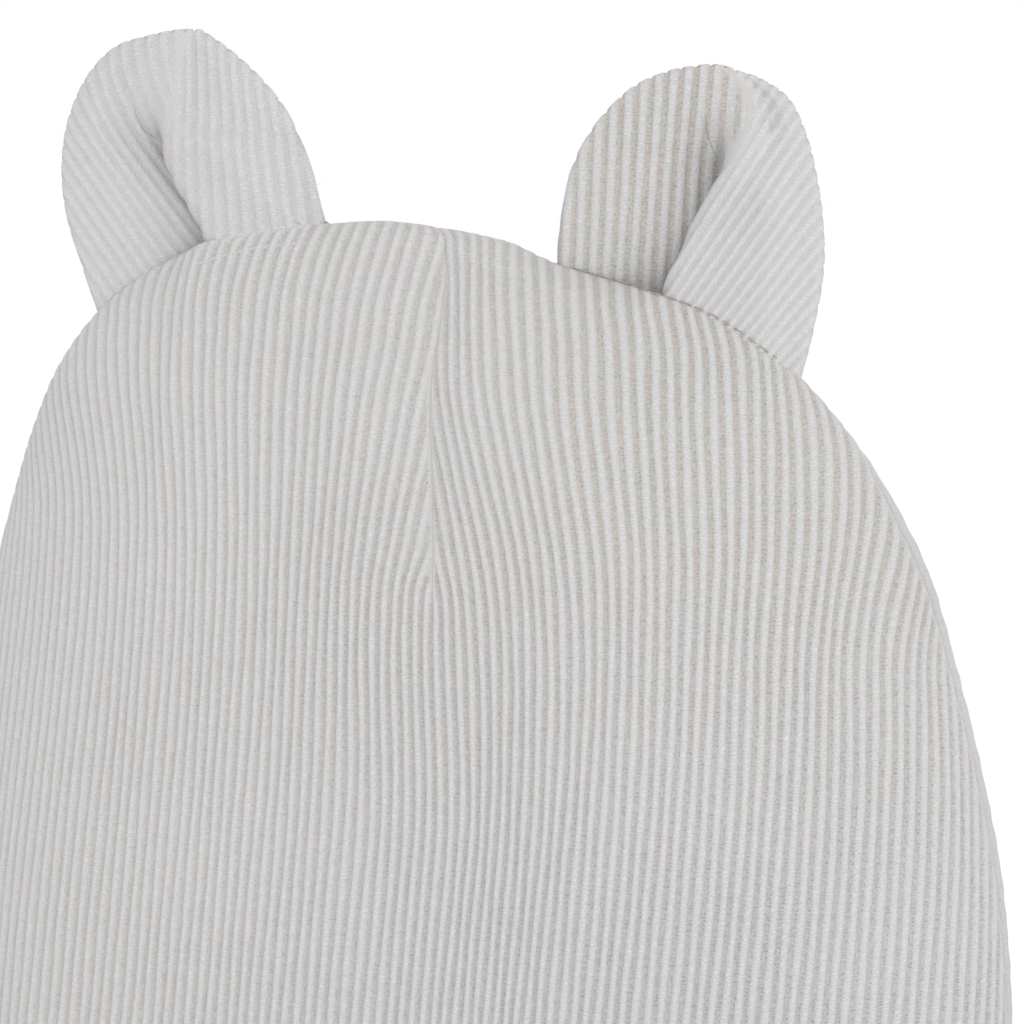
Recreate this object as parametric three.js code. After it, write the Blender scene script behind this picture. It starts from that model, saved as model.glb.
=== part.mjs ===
import * as THREE from 'three';

// Main sizes in mm
const HAT_HEIGHT = 145;
const HALF_WIDTH = 75.5;
const FRONT_DEPTH = 30;
const BACK_DEPTH = 30;
const WALL = 1.8;
const SEAM_GAP = 0.3;

// Hem turned in at the rim
const HEM_HEIGHT = 16;
const HEM_EXTRA = 0.8;

// Shape of every level section, from flat front to pinched side seam
const SECTION_SQUARENESS = 2.2;
const SECTION_PINCH = 0.65;

// Dart sewn down the middle of each panel
const DART_LENGTH = 41.5;
const DART_DEPTH = 1.3;
const DART_HALF_WIDTH = 3;

// Ears: two layers of knit folded into one pleat at the base
const EAR_WIDTH = 32;
const EAR_HEIGHT = 36;
const EAR_LAYER = 1;
const EAR_PUFF = 1;
const EAR_SINK = 1.4;
const PLEAT_RADIUS = EAR_LAYER + SEAM_GAP;
const PLEAT_RELAX = 9;

// Body sections from the rim to the crown, as shares of HAT_HEIGHT, HALF_WIDTH and the depths
// lean moves the middle sideways, front moves the dart line, tilt is rise over width
const SECTIONS = [
  { height: 0.000, half: 0.980, lean: 0.000, front: 0.000, tilt: 0.000, depth: 0.950 },
  { height: 0.110, half: 0.994, lean: 0.000, front: 0.000, tilt: 0.000, depth: 0.985 },
  { height: 0.205, half: 1.000, lean: 0.000, front: 0.004, tilt: 0.000, depth: 1.000 },
  { height: 0.300, half: 0.993, lean: 0.000, front: 0.008, tilt: 0.000, depth: 0.998 },
  { height: 0.390, half: 0.974, lean: 0.000, front: 0.012, tilt: 0.000, depth: 0.985 },
  { height: 0.480, half: 0.943, lean: 0.000, front: 0.016, tilt: 0.000, depth: 0.955 },
  { height: 0.570, half: 0.898, lean: -0.003, front: 0.020, tilt: 0.000, depth: 0.900 },
  { height: 0.655, half: 0.850, lean: -0.009, front: 0.021, tilt: 0.000, depth: 0.830 },
  { height: 0.731, half: 0.806, lean: -0.020, front: 0.021, tilt: 0.000, depth: 0.745 },
  { height: 0.800, half: 0.750, lean: -0.042, front: 0.021, tilt: 0.000, depth: 0.640 },
  { height: 0.862, half: 0.681, lean: -0.063, front: 0.021, tilt: -0.004, depth: 0.515 },
  { height: 0.917, half: 0.583, lean: -0.074, front: 0.020, tilt: -0.018, depth: 0.370 },
  { height: 0.961, half: 0.441, lean: -0.080, front: 0.014, tilt: -0.036, depth: 0.222 },
  { height: 0.989, half: 0.230, lean: -0.084, front: 0.006, tilt: -0.090, depth: 0.095 },
  { height: 1.000, half: 0.000, lean: -0.086, front: 0.000, tilt: -0.090, depth: 0.000 },
];

// Soft dents and swells: middle, reach each way and push inwards, as shares of HALF_WIDTH,
// HAT_HEIGHT, HALF_WIDTH, HAT_HEIGHT and the panel's depth
const FRONT_DENTS = [
  { x: -0.874, z: 0.428, wide: 0.120, tall: 0.180, inward: 0.073 },
  { x: -0.660, z: 0.330, wide: 0.160, tall: 0.207, inward: -0.040 },
  { x: -0.120, z: 0.669, wide: 0.120, tall: 0.103, inward: -0.043 },
  { x: 0.690, z: 0.717, wide: 0.066, tall: 0.152, inward: 0.040 },
  { x: 0.240, z: 0.745, wide: 0.160, tall: 0.152, inward: -0.027 },
  { x: 0.450, z: 0.207, wide: 0.265, tall: 0.180, inward: 0.047 },
];
const BACK_DENTS = [
  { x: 0.530, z: 0.483, wide: 0.185, tall: 0.207, inward: 0.053 },
  { x: -0.400, z: 0.276, wide: 0.290, tall: 0.165, inward: 0.050 },
  { x: -0.160, z: 0.717, wide: 0.160, tall: 0.138, inward: -0.033 },
];

// Ear rows from base to tip: outline points as shares of EAR_WIDTH from the ear's middle and of
// EAR_HEIGHT above the crown, the visible fold and hidden overlap as shares of EAR_WIDTH, and
// how far the pleat is turned, where 1 is a full half turn
const LEFT_EAR = {
  middle: -0.4755,
  rows: [
    { xl: -0.472, zl: 0.000, xr: 0.472, zr: 0.000, fold: 0.022, turn: 1.00, overlap: 0.297 },
    { xl: -0.547, zl: 0.169, xr: 0.438, zr: 0.081, fold: -0.047, turn: 1.00, overlap: 0.238 },
    { xl: -0.606, zl: 0.314, xr: 0.406, zr: 0.178, fold: -0.122, turn: 1.00, overlap: 0.144 },
    { xl: -0.641, zl: 0.456, xr: 0.363, zr: 0.275, fold: -0.191, turn: 0.85, overlap: 0.063 },
    { xl: -0.644, zl: 0.592, xr: 0.309, zr: 0.361, fold: -0.228, turn: 0.56, overlap: 0.038 },
    { xl: -0.616, zl: 0.719, xr: 0.241, zr: 0.436, fold: -0.241, turn: 0.30, overlap: 0.031 },
    { xl: -0.553, zl: 0.842, xr: 0.147, zr: 0.519, fold: -0.241, turn: 0.14, overlap: 0.025 },
    { xl: -0.453, zl: 0.942, xr: 0.028, zr: 0.594, fold: -0.234, turn: 0.08, overlap: 0.016 },
    { xl: -0.303, zl: 1.008, xr: -0.122, zr: 0.639, fold: -0.216, turn: 0.05, overlap: 0.006 },
  ],
};
const RIGHT_EAR = {
  middle: 0.335,
  rows: [
    { xl: -0.497, zl: 0.000, xr: 0.497, zr: 0.000, fold: -0.047, turn: 1.00, overlap: 0.256 },
    { xl: -0.503, zl: 0.103, xr: 0.534, zr: 0.203, fold: -0.003, turn: 1.00, overlap: 0.206 },
    { xl: -0.488, zl: 0.214, xr: 0.547, zr: 0.392, fold: 0.059, turn: 1.00, overlap: 0.144 },
    { xl: -0.463, zl: 0.339, xr: 0.522, zr: 0.564, fold: 0.116, turn: 0.90, overlap: 0.081 },
    { xl: -0.409, zl: 0.450, xr: 0.488, zr: 0.717, fold: 0.159, turn: 0.66, overlap: 0.047 },
    { xl: -0.328, zl: 0.547, xr: 0.438, zr: 0.842, fold: 0.184, turn: 0.40, overlap: 0.031 },
    { xl: -0.219, zl: 0.631, xr: 0.363, zr: 0.947, fold: 0.172, turn: 0.20, overlap: 0.025 },
    { xl: -0.091, zl: 0.683, xr: 0.247, zr: 1.006, fold: 0.122, turn: 0.10, overlap: 0.016 },
    { xl: 0.022, zl: 0.703, xr: 0.159, zr: 1.025, fold: 0.097, turn: 0.05, overlap: 0.006 },
  ],
};

// Mesh steps: columns across half a panel, rows for each body section, and steps in an ear
const HALF_COLUMNS = [0, 0.036, 0.10, 0.19, 0.30, 0.42, 0.55, 0.68, 0.79, 0.88, 0.95, 1];
const ROWS_IN_SECTION = [2, 1, 1, 1, 1, 1, 1, 1, 2, 3, 3, 4, 4, 4];
const EAR_STEPS = { side: 5, turn: 4, hidden: 2, rows: 12 };

const clamp = (value, low, high) => Math.min(Math.max(value, low), high);
const ease = (share) => share * share * (3 - 2 * share);
const mix = (a, b, share) => a + (b - a) * share;

// Smooth curve through one column of a table, place counted in rows
function along(table, column, place) {
  const last = table.length - 1;
  const i = clamp(Math.floor(place), 0, last - 1);
  const f = clamp(place - i, 0, 1);
  const at = (k) => table[clamp(k, 0, last)][column];
  const before = i > 0 ? at(i - 1) : 2 * at(0) - at(1);
  const after = i < last - 1 ? at(i + 2) : 2 * at(last) - at(last - 1);
  const [a, b] = [at(i), at(i + 1)];
  return a + 0.5 * f * (b - before + f * (2 * before - 5 * a + 4 * b - after
    + f * (3 * (a - b) + after - before)));
}

// Half gap of the seam at one x: closed between the ears, open for their two layers and wider
// where the pleat stacks three pairs of layers
const PAIR_HALF = EAR_LAYER + 2 * SEAM_GAP;
const STACK_HALF = PAIR_HALF + 2 * PLEAT_RADIUS;
const SEAM_SLOTS = [LEFT_EAR, RIGHT_EAR].flatMap(({ middle, rows }) => {
  const at = (share) => middle * HALF_WIDTH + share * EAR_WIDTH;
  const { xl, xr, fold, overlap } = rows[0];
  const pleatEnd = Math.max(at(fold + overlap) + 2 * PLEAT_RADIUS, at(xr)) + PAIR_HALF;
  return [
    { x: at(xl) - 3 * PAIR_HALF, half: SEAM_GAP / 2 },
    { x: at(xl) - PAIR_HALF, half: PAIR_HALF + SEAM_GAP },
    { x: at(fold) - 6 * PAIR_HALF, half: PAIR_HALF + SEAM_GAP },
    { x: at(fold) - 2 * PAIR_HALF, half: STACK_HALF + SEAM_GAP },
    { x: pleatEnd, half: STACK_HALF + SEAM_GAP },
    { x: pleatEnd + 3 * PAIR_HALF, half: SEAM_GAP / 2 },
  ];
});

function seamHalf(x) {
  const next = SEAM_SLOTS.findIndex((slot) => slot.x > x);
  if (next <= 0) return SEAM_GAP / 2;
  const [a, b] = [SEAM_SLOTS[next - 1], SEAM_SLOTS[next]];
  return mix(a.half, b.half, ease((x - a.x) / (b.x - a.x)));
}

// Outer skin of a panel: side is -1 at the front and 1 at the back
function skin(side, place, u) {
  const get = (column) => along(SECTIONS, column, place);
  const half = Math.max(get('half'), 0) * HALF_WIDTH;
  const x = get('lean') * HALF_WIDTH + half * u + get('front') * HALF_WIDTH * (1 - u * u);
  const z = get('height') * HAT_HEIGHT + get('tilt') * half * u;
  const reach = side < 0 ? FRONT_DEPTH : BACK_DEPTH;
  const bulge = Math.max(1 - Math.abs(u) ** SECTION_SQUARENESS, 0) ** SECTION_PINCH;
  const depth = Math.max(get('depth'), 0) * reach * bulge;
  let inward = 0;
  for (const dent of side < 0 ? FRONT_DENTS : BACK_DENTS) {
    const away = (x / HALF_WIDTH - dent.x) / dent.wide;
    const above = (z / HAT_HEIGHT - dent.z) / dent.tall;
    inward += reach * dent.inward * Math.exp(-(away ** 2) - above ** 2);
  }
  const dart = clamp(3 * (z - HAT_HEIGHT + DART_LENGTH) / DART_LENGTH, 0, 1) * clamp(depth / 6, 0, 1);
  inward += DART_DEPTH * ease(dart) * Math.exp(-((half * u / DART_HALF_WIDTH) ** 2));
  const swell = depth - inward * clamp(depth / 8, 0, 1);
  return new THREE.Vector3(x, side * Math.hypot(swell, seamHalf(x)), z);
}

// Direction into the cloth, kept level at the rim and in the seam plane at the seam
function inwardAt(side, place, u) {
  const step = 0.02;
  const top = SECTIONS.length - 1;
  const across = skin(side, place, clamp(u + step, -1, 1)).sub(skin(side, place, clamp(u - step, -1, 1)));
  const up = skin(side, clamp(place + step, 0, top), u).sub(skin(side, clamp(place - step, 0, top), u));
  const normal = new THREE.Vector3().crossVectors(across, up).multiplyScalar(side);
  if (Math.abs(u) === 1) normal.set(up.z, 0, -up.x).multiplyScalar(-u);
  if (place === 0) normal.z = 0;
  if (place === top) normal.set(0, 0, -1);
  return normal.normalize();
}

// Closed solid from two grids of points, outer and inner, in rows
function closedSolid(outer, inner) {
  const points = [];
  const known = new Map();
  const triangles = [];
  const index = (p) => {
    const key = [p.x, p.y, p.z].map((value) => value.toFixed(4)).join(' ');
    if (!known.has(key)) known.set(key, points.push(p.x, p.y, p.z) / 3 - 1);
    return known.get(key);
  };
  const triangle = (a, b, c) => {
    if (a !== b && b !== c && c !== a) triangles.push(a, b, c);
  };
  const quad = (a, b, c, d) => {
    const [i, j, k, l] = [a, b, c, d].map(index);
    if (a.distanceTo(c) <= b.distanceTo(d)) {
      triangle(i, j, k);
      triangle(i, k, l);
    } else {
      triangle(i, j, l);
      triangle(j, k, l);
    }
  };
  const rows = outer.length - 1;
  const columns = outer[0].length - 1;
  for (let r = 0; r < rows; r += 1) {
    for (let c = 0; c < columns; c += 1) {
      quad(outer[r][c], outer[r][c + 1], outer[r + 1][c + 1], outer[r + 1][c]);
      quad(inner[r][c + 1], inner[r][c], inner[r + 1][c], inner[r + 1][c + 1]);
    }
    quad(outer[r + 1][0], inner[r + 1][0], inner[r][0], outer[r][0]);
    quad(outer[r][columns], inner[r][columns], inner[r + 1][columns], outer[r + 1][columns]);
  }
  for (let c = 0; c < columns; c += 1) {
    quad(outer[0][c + 1], outer[0][c], inner[0][c], inner[0][c + 1]);
    quad(outer[rows][c], outer[rows][c + 1], inner[rows][c + 1], inner[rows][c]);
  }
  let volume = 0;
  const corner = (i) => new THREE.Vector3(...points.slice(3 * i, 3 * i + 3));
  for (let i = 0; i < triangles.length; i += 3) {
    volume += corner(triangles[i]).dot(corner(triangles[i + 1]).cross(corner(triangles[i + 2])));
  }
  if (volume < 0) triangles.reverse();
  const geometry = new THREE.BufferGeometry();
  geometry.setAttribute('position', new THREE.Float32BufferAttribute(points, 3));
  geometry.setIndex(triangles);
  geometry.computeVertexNormals();
  return geometry;
}

// Front or back panel with its hem
function panel(side) {
  const places = [0];
  ROWS_IN_SECTION.forEach((count, section) => {
    for (let k = 1; k <= count; k += 1) places.push(section + k / count);
  });
  const columns = [...HALF_COLUMNS.slice(1).reverse().map((u) => -u), ...HALF_COLUMNS];
  const outer = places.map((place) => columns.map((u) => skin(side, place, u)));
  const inner = places.map((place, r) => columns.map((u, c) => {
    const hem = ease(clamp((HEM_HEIGHT + 3 - outer[r][c].z) / 3, 0, 1));
    const point = outer[r][c].clone().addScaledVector(inwardAt(side, place, u), WALL + HEM_EXTRA * hem);
    if (Math.abs(u) < 1) point.y = side * Math.max(side * point.y, seamHalf(point.x) + SEAM_GAP / 4);
    return point;
  }));
  return closedSolid(outer, inner);
}

// Height of the crown seam at one x
function crownHeight(x) {
  const top = SECTIONS.length - 1;
  const u = x < skin(-1, top, 0).x ? -1 : 1;
  let [low, high] = [top - 7, top];
  for (let k = 0; k < 30; k += 1) {
    const middle = (low + high) / 2;
    if ((skin(-1, middle, u).x - x) * u > 0) low = middle;
    else high = middle;
  }
  return skin(-1, (low + high) / 2, u).z;
}

// Level path of the folded ear cloth: share 0 to 1 over five stretches of the pleat
function earPath({ middle, rows }, row, stretch, share) {
  const get = (column) => along(rows, column, row);
  const at = (value) => middle * HALF_WIDTH + value * EAR_WIDTH;
  const [left, right, fold] = [at(get('xl')), at(get('xr')), at(get('fold'))];
  const overlap = Math.max(get('overlap') * EAR_WIDTH, 0.2);
  const angle = clamp(get('turn'), 0.04, 1) * Math.PI;
  const arc = Math.min(PLEAT_RADIUS * Math.PI, 0.16 * (right - left));
  const radius = arc / angle;
  const advance = 2 * radius * Math.sin(angle) + overlap * Math.cos(angle);
  const drop = 2 * radius * (1 - Math.cos(angle)) + overlap * Math.sin(angle);
  const reversed = ease(clamp((angle / Math.PI - 0.3) / 0.7, 0, 1));
  const pleat = fold + reversed * (radius + overlap / 2);
  const start = { x: pleat - advance / 2, y: drop / 2 };
  const turned = (a) => ({ x: radius * Math.sin(a), y: -radius * (1 - Math.cos(a)) });
  let [x, y] = [0, 0];
  if (stretch === 0) {
    x = mix(left, start.x, share);
    y = start.y * (1 - 0.9 * ease(clamp((fold - PAIR_HALF - x) / PLEAT_RELAX, 0, 1)));
  } else if (stretch === 1) {
    const part = turned(angle * share);
    [x, y] = [start.x + part.x, start.y + part.y];
  } else if (stretch === 2) {
    const part = turned(angle);
    x = start.x + part.x + overlap * share * Math.cos(angle);
    y = start.y + part.y - overlap * share * Math.sin(angle);
  } else if (stretch === 3) {
    const part = turned(angle * (1 - share));
    [x, y] = [start.x + advance - part.x, -start.y - part.y];
  } else {
    x = mix(start.x + advance, right, share);
    const hidden = pleat + reversed * (radius + overlap / 2) + PAIR_HALF;
    y = -start.y * (1 - 0.7 * ease(clamp((x - hidden) / PLEAT_RELAX, 0, 1)));
  }
  const across = clamp((x - left) / (right - left), 0, 1);
  const [baseLeft, baseRight] = [at(rows[0].xl), at(rows[0].xr)];
  const [crownLeft, crownRight] = [crownHeight(baseLeft), crownHeight(baseRight)];
  const [zl, zr] = [crownLeft + get('zl') * EAR_HEIGHT, crownRight + get('zr') * EAR_HEIGHT];
  const held = clamp(x, baseLeft, baseRight);
  const chord = mix(crownLeft, crownRight, (held - baseLeft) / (baseRight - baseLeft));
  const low = (1 - row / (rows.length - 1)) ** 3;
  return new THREE.Vector3(x, y, mix(zl, zr, across) + low * (crownHeight(held) - EAR_SINK - chord));
}

// One of the two cloth layers of an ear: side is -1 at the front and 1 at the back
function earLayer(ear, side) {
  const { side: sideSteps, turn, hidden, rows } = EAR_STEPS;
  const samples = [];
  [sideSteps, turn, hidden, turn, sideSteps + 1].forEach((count, stretch) => {
    for (let k = stretch ? 1 : 0; k <= count; k += 1) samples.push([stretch, k / count]);
  });
  const top = ear.rows.length - 1;
  const grid = (distance) => {
    const skinRows = [];
    for (let r = 0; r <= rows; r += 1) {
      const row = top * r / rows;
      const puffRow = Math.sin(Math.PI * clamp(r / rows, 0, 1)) ** 0.7;
      skinRows.push(samples.map(([stretch, share]) => {
        const e = 0.002;
        const before = earPath(ear, row, stretch, Math.max(share - e, 0));
        const after = earPath(ear, row, stretch, Math.min(share + e, 1));
        const way = after.sub(before).setZ(0).normalize();
        const puff = EAR_PUFF * puffRow * (stretch % 4 ? 0 : Math.sin(Math.PI * share) ** 2);
        const out = new THREE.Vector3(way.y, -way.x, 0).multiplyScalar(-side);
        return earPath(ear, row, stretch, share).addScaledVector(out, distance + puff);
      }));
    }
    return skinRows;
  };
  return closedSolid(grid(SEAM_GAP / 2 + EAR_LAYER), grid(SEAM_GAP / 2));
}

// Cream rib knit, a shade apart so that the pieces can be told from each other
function knit(name, colour) {
  const material = new THREE.MeshStandardMaterial({ color: colour, roughness: 0.95, metalness: 0 });
  material.name = name;
  return material;
}

const group = new THREE.Group();
group.name = 'baby_hat_with_ears';
const pieces = [
  ['front_panel', panel(-1), knit('front_panel_knit', '#e7e2db')],
  ['back_panel', panel(1), knit('back_panel_knit', '#e5e0d9')],
  ['left_ear_front', earLayer(LEFT_EAR, -1), knit('left_ear_front_knit', '#e8e3dc')],
  ['left_ear_back', earLayer(LEFT_EAR, 1), knit('left_ear_back_knit', '#e4dfd8')],
  ['right_ear_front', earLayer(RIGHT_EAR, -1), knit('right_ear_front_knit', '#e8e3dc')],
  ['right_ear_back', earLayer(RIGHT_EAR, 1), knit('right_ear_back_knit', '#e4dfd8')],
];
for (const [name, geometry, material] of pieces) {
  const mesh = new THREE.Mesh(geometry, material);
  mesh.name = name;
  group.add(mesh);
}

export default group;
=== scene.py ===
"""Ribbed knit baby hat with two folded ears: cloth, seams, stitches, light and camera."""

import math
from collections import namedtuple

import bpy
import numpy as np
from mathutils import Matrix, Vector


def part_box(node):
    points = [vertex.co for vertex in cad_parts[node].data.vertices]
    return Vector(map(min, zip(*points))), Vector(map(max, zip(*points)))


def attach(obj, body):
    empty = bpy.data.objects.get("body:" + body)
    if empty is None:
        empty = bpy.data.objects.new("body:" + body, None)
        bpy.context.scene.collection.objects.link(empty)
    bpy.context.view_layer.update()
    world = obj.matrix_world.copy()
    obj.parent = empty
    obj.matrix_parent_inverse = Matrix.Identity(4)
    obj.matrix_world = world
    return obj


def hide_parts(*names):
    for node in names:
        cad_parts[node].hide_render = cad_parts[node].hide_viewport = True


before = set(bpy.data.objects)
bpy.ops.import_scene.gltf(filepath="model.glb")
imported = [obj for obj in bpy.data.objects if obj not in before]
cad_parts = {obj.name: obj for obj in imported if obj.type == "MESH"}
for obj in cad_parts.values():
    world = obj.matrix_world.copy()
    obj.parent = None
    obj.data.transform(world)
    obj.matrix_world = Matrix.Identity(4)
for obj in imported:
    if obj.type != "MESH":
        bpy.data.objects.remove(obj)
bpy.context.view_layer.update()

MM = 0.001

# Main sizes in mm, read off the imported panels
front_low, front_high = (np.array(corner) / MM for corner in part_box("front_panel"))
back_high = np.array(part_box("back_panel")[1]) / MM
HALF_WIDTH = (front_high[0] - front_low[0]) / 2
HAT_HEIGHT = front_high[2]
FRONT_DEPTH = -front_low[1]
BACK_DEPTH = back_high[1]
WALL = 1.8

# Section shape, dart and hem of the panels
SECTION_SQUARENESS = 2.2
SECTION_PINCH = 0.65
DART_LENGTH = 41.5
DART_DEPTH = 1.0
DART_HALF_WIDTH = 3.0
DART_TIP = HAT_HEIGHT - DART_LENGTH
HEM_HEIGHT = 16.0
HEM_EXTRA = 0.8
HEM_STEP = 3.0

# Ears
EAR_WIDTH = 32.0
EAR_HEIGHT = 36.0
EAR_LAYER = 1.0
EAR_PUFF = 1.0
EAR_SINK = 1.4
EAR_GAP = 0.15
PLEAT_RADIUS = 1.3
PLEAT_RELAX = 9.0
PAIR_HALF = EAR_LAYER + 2 * EAR_GAP

# Knit: ribs of the panels, counted outwards from the dart line
RIB_PITCH = 1.36
RIB_BIAS = 0.044
RIB_SPREAD = 9.2e-5
RIB_HEIGHT = 0.42
WIDEST_PLACE = 2.0
SEAM_PULL = 8.5
PULL_REACH = 13.0
SEAM_WRAP = 1.8
CROWN_LIFT = 0.9
EDGE_ROLL = 1.3
EDGE_SINK = 0.8
COLUMNS_IN_RIB = 6
PANEL_ROWS = 118
ROW_CROWDING = 1.7
STITCH = 0.46

# Where the set of the ribs changes, from nothing to full: heights and distances from the dart line in mm,
# and places in rows of SECTIONS
TAKEN_HEIGHTS = (DART_TIP - 5, DART_TIP + 3)
BESIDE_HEIGHTS = (DART_TIP - 2, DART_TIP + 5)
PUCKER_HEIGHTS = (DART_TIP - 3, DART_TIP + 5)
SINK_HEIGHTS = (DART_TIP - 1, DART_TIP + 7)
LINE_HEIGHTS = (DART_TIP - 4, DART_TIP)
LEAN_PLACES = (4, 8)
LEAN_DISTANCES = (5, 30)
CURL_START = 11.0
FLARE_HEIGHTS = (20, 50)
FLARE_DISTANCES = (10, 35)
FLARE_MARGIN = 18
WRAP_PLACES = (8.2, 10.2)
STRIP_PLACES = (9, 10.5)
PULL_BEFORE = 2.1
PULL_AFTER = (0.3, 3.0)
# Reach in mm of the cloth taken at the tip and beside the dart, and of the curl's start and end
TIP_FADE = 2.5
BESIDE_FADE = 3
CURL_FADES = (5, 40)
# Wavers of the ribs: amount in mm, turn for each mm up and turn for each rib
WAVERS = ((0.05, 0.35, 1.9), (0.06, 0.13, -0.8))
# Ripples of the strip beside the side seam: turn for each mm up and start
RIPPLES = ((1.9, 0), (1.2, 2))
RIPPLE_HEIGHT = 0.04
# Seam line of the dart: reach and depth, as a share of RIB_HEIGHT, of the ribs squeezed into it, and the
# reach of its dark line on each side; then the sunk edge and the puckers beside it
SQUEEZE_REACH = 0.45
SQUEEZE_DEPTH = 0.55
LINE_REACH = {-1: 0.5, 1: 0.12}
SINK_REACH = 1.8
PUCKER_HEIGHT = 0.16
PUCKER_LENGTH = 3.1
PUCKER_FADE = 2.2
# Lifted crown between the ears: x at its ends, its places and its distance from the seam
CROWN_LEFT = (-24, -12)
CROWN_RIGHT = (2, 9)
CROWN_PLACES = (9.5, 11)
CROWN_REACH = (2, 9)

# Cloth of each side, in mm. lost: taken by the dart between the heights low and high, felt as far as reach
# and fading by power. beside: taken right beside it. lean: the ribs' lean inwards far from it. curl: their
# curl over the crown. sink: depth of the edge by the dart. pulled: place where the side seam pulls most.
# flare: the ribs' flare near the rim.
Side = namedtuple("Side", "sign lost low high reach power beside lean curl sink pulled flare")
LEFT = Side(-1, 8.5, 101.0, 134.0, 14.0, 1.0, 2.2, -0.6, 3.6, 0.3, 9.9, 1.4)
RIGHT = Side(1, 7.2, 91.0, 145.0, 22.0, 3.0, 0.6, 0.3, 0.0, 0.3, 9.0, 0.0)
# Sway of the dart line to the right in mm, below the dart and at its top, the heights between which each
# fades or grows, and how far it is felt to the sides
LOW_SWAY = 2.0
LOW_SWAY_HEIGHTS = (71, 99)
TOP_SWAY = 1.2
TOP_SWAY_HEIGHTS = (124, 142)
SWAY_REACH = 12.0


def table(names, rows):
    """Listed rows of numbers as one array for each named column."""
    return dict(zip(names.split(), np.array(rows).T))


# Body sections from the rim to the crown, as shares of HAT_HEIGHT, HALF_WIDTH and the depths
SECTIONS = table("height half lean front tilt depth", [
    (0.000, 0.980, 0.000, 0.000, 0.000, 0.950),
    (0.110, 0.994, 0.000, 0.000, 0.000, 0.985),
    (0.205, 1.000, 0.000, 0.004, 0.000, 1.000),
    (0.300, 0.993, 0.000, 0.008, 0.000, 0.998),
    (0.390, 0.974, 0.000, 0.012, 0.000, 0.985),
    (0.480, 0.943, 0.000, 0.016, 0.000, 0.955),
    (0.570, 0.898, -0.003, 0.020, 0.000, 0.900),
    (0.655, 0.850, -0.009, 0.021, 0.000, 0.830),
    (0.731, 0.806, -0.020, 0.021, 0.000, 0.745),
    (0.800, 0.750, -0.042, 0.021, 0.000, 0.640),
    (0.862, 0.681, -0.063, 0.021, -0.004, 0.515),
    (0.917, 0.583, -0.074, 0.020, -0.018, 0.370),
    (0.961, 0.441, -0.080, 0.014, -0.036, 0.222),
    (0.989, 0.230, -0.084, 0.006, -0.090, 0.095),
    (1.000, 0.000, -0.086, 0.000, -0.090, 0.000),
])
TOP = len(SECTIONS["height"]) - 1

# Soft dents and swells: middle, reach and push inwards, as shares of HALF_WIDTH, HAT_HEIGHT and depth
DENT_COLUMNS = "x z wide tall inward"
FRONT_DENTS = table(DENT_COLUMNS, [
    (-0.874, 0.428, 0.120, 0.180, 0.073),
    (-0.660, 0.330, 0.160, 0.207, -0.040),
    (-0.120, 0.669, 0.120, 0.103, -0.043),
    (0.690, 0.717, 0.066, 0.152, 0.040),
    (0.240, 0.745, 0.160, 0.152, -0.027),
    (0.450, 0.207, 0.265, 0.180, 0.047),
])
BACK_DENTS = table(DENT_COLUMNS, [
    (0.530, 0.483, 0.185, 0.207, 0.053),
    (-0.400, 0.276, 0.290, 0.165, 0.050),
    (-0.160, 0.717, 0.160, 0.138, -0.033),
])

# Ear rows from base to tip: outline points, visible fold, pleat turn and hidden overlap
EAR_COLUMNS = "xl zl xr zr fold turn overlap"
LEFT_EAR_ROWS = table(EAR_COLUMNS, [
    (-0.484, 0.000, 0.478, 0.000, 0.022, 1.00, 0.220),
    (-0.563, 0.169, 0.432, 0.081, -0.047, 1.00, 0.180),
    (-0.630, 0.314, 0.394, 0.178, -0.122, 1.00, 0.110),
    (-0.665, 0.456, 0.343, 0.275, -0.191, 0.85, 0.060),
    (-0.664, 0.592, 0.289, 0.361, -0.228, 0.36, 0.030),
    (-0.630, 0.719, 0.220, 0.438, -0.241, 0.13, 0.020),
    (-0.560, 0.846, 0.129, 0.516, -0.236, 0.05, 0.014),
    (-0.445, 0.948, 0.018, 0.590, -0.205, 0.03, 0.008),
    (-0.275, 0.998, -0.095, 0.650, -0.180, 0.02, 0.004),
])
RIGHT_EAR_ROWS = table(EAR_COLUMNS, [
    (-0.497, 0.000, 0.497, 0.000, -0.047, 1.00, 0.256),
    (-0.503, 0.103, 0.536, 0.203, -0.003, 1.00, 0.206),
    (-0.488, 0.214, 0.555, 0.392, 0.059, 1.00, 0.144),
    (-0.463, 0.339, 0.534, 0.564, 0.116, 0.85, 0.081),
    (-0.405, 0.450, 0.492, 0.717, 0.159, 0.44, 0.040),
    (-0.322, 0.550, 0.440, 0.842, 0.178, 0.17, 0.025),
    (-0.219, 0.632, 0.367, 0.948, 0.168, 0.07, 0.016),
    (-0.091, 0.684, 0.254, 1.008, 0.130, 0.03, 0.008),
    (0.005, 0.702, 0.176, 1.026, 0.095, 0.02, 0.004),
])
# Ribs of an ear: those behind the fold and those in front of it fan out from a point x, z in mm, at a
# pitch in mm, bend upright near the tip by a slope, and are more or less plain
Ribs = namedtuple("Ribs", "x z pitch bend plain")
Ear = namedtuple("Ear", "name middle rows behind infront tip rib_height")
LEFT_EAR = Ear("left_ear", -0.4755, LEFT_EAR_ROWS,
               Ribs(-230.0, 365.0, 1.45, 0.9, 0.35), Ribs(-45.5, 240.0, 1.62, 0.0, 0.42), 0.25, 0.22)
RIGHT_EAR = Ear("right_ear", 0.335, RIGHT_EAR_ROWS,
                Ribs(29.0, -500.0, 1.82, 0.0, 0.0), Ribs(-33.0, 40.0, 1.42, 0.0, 0.52), 0.5, 0.34)
EAR_TOP = len(LEFT_EAR_ROWS["xl"]) - 1
EAR_GRID_ROWS = 120
EAR_GRID_STEPS = (84, 18, 30, 18, 80)
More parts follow.
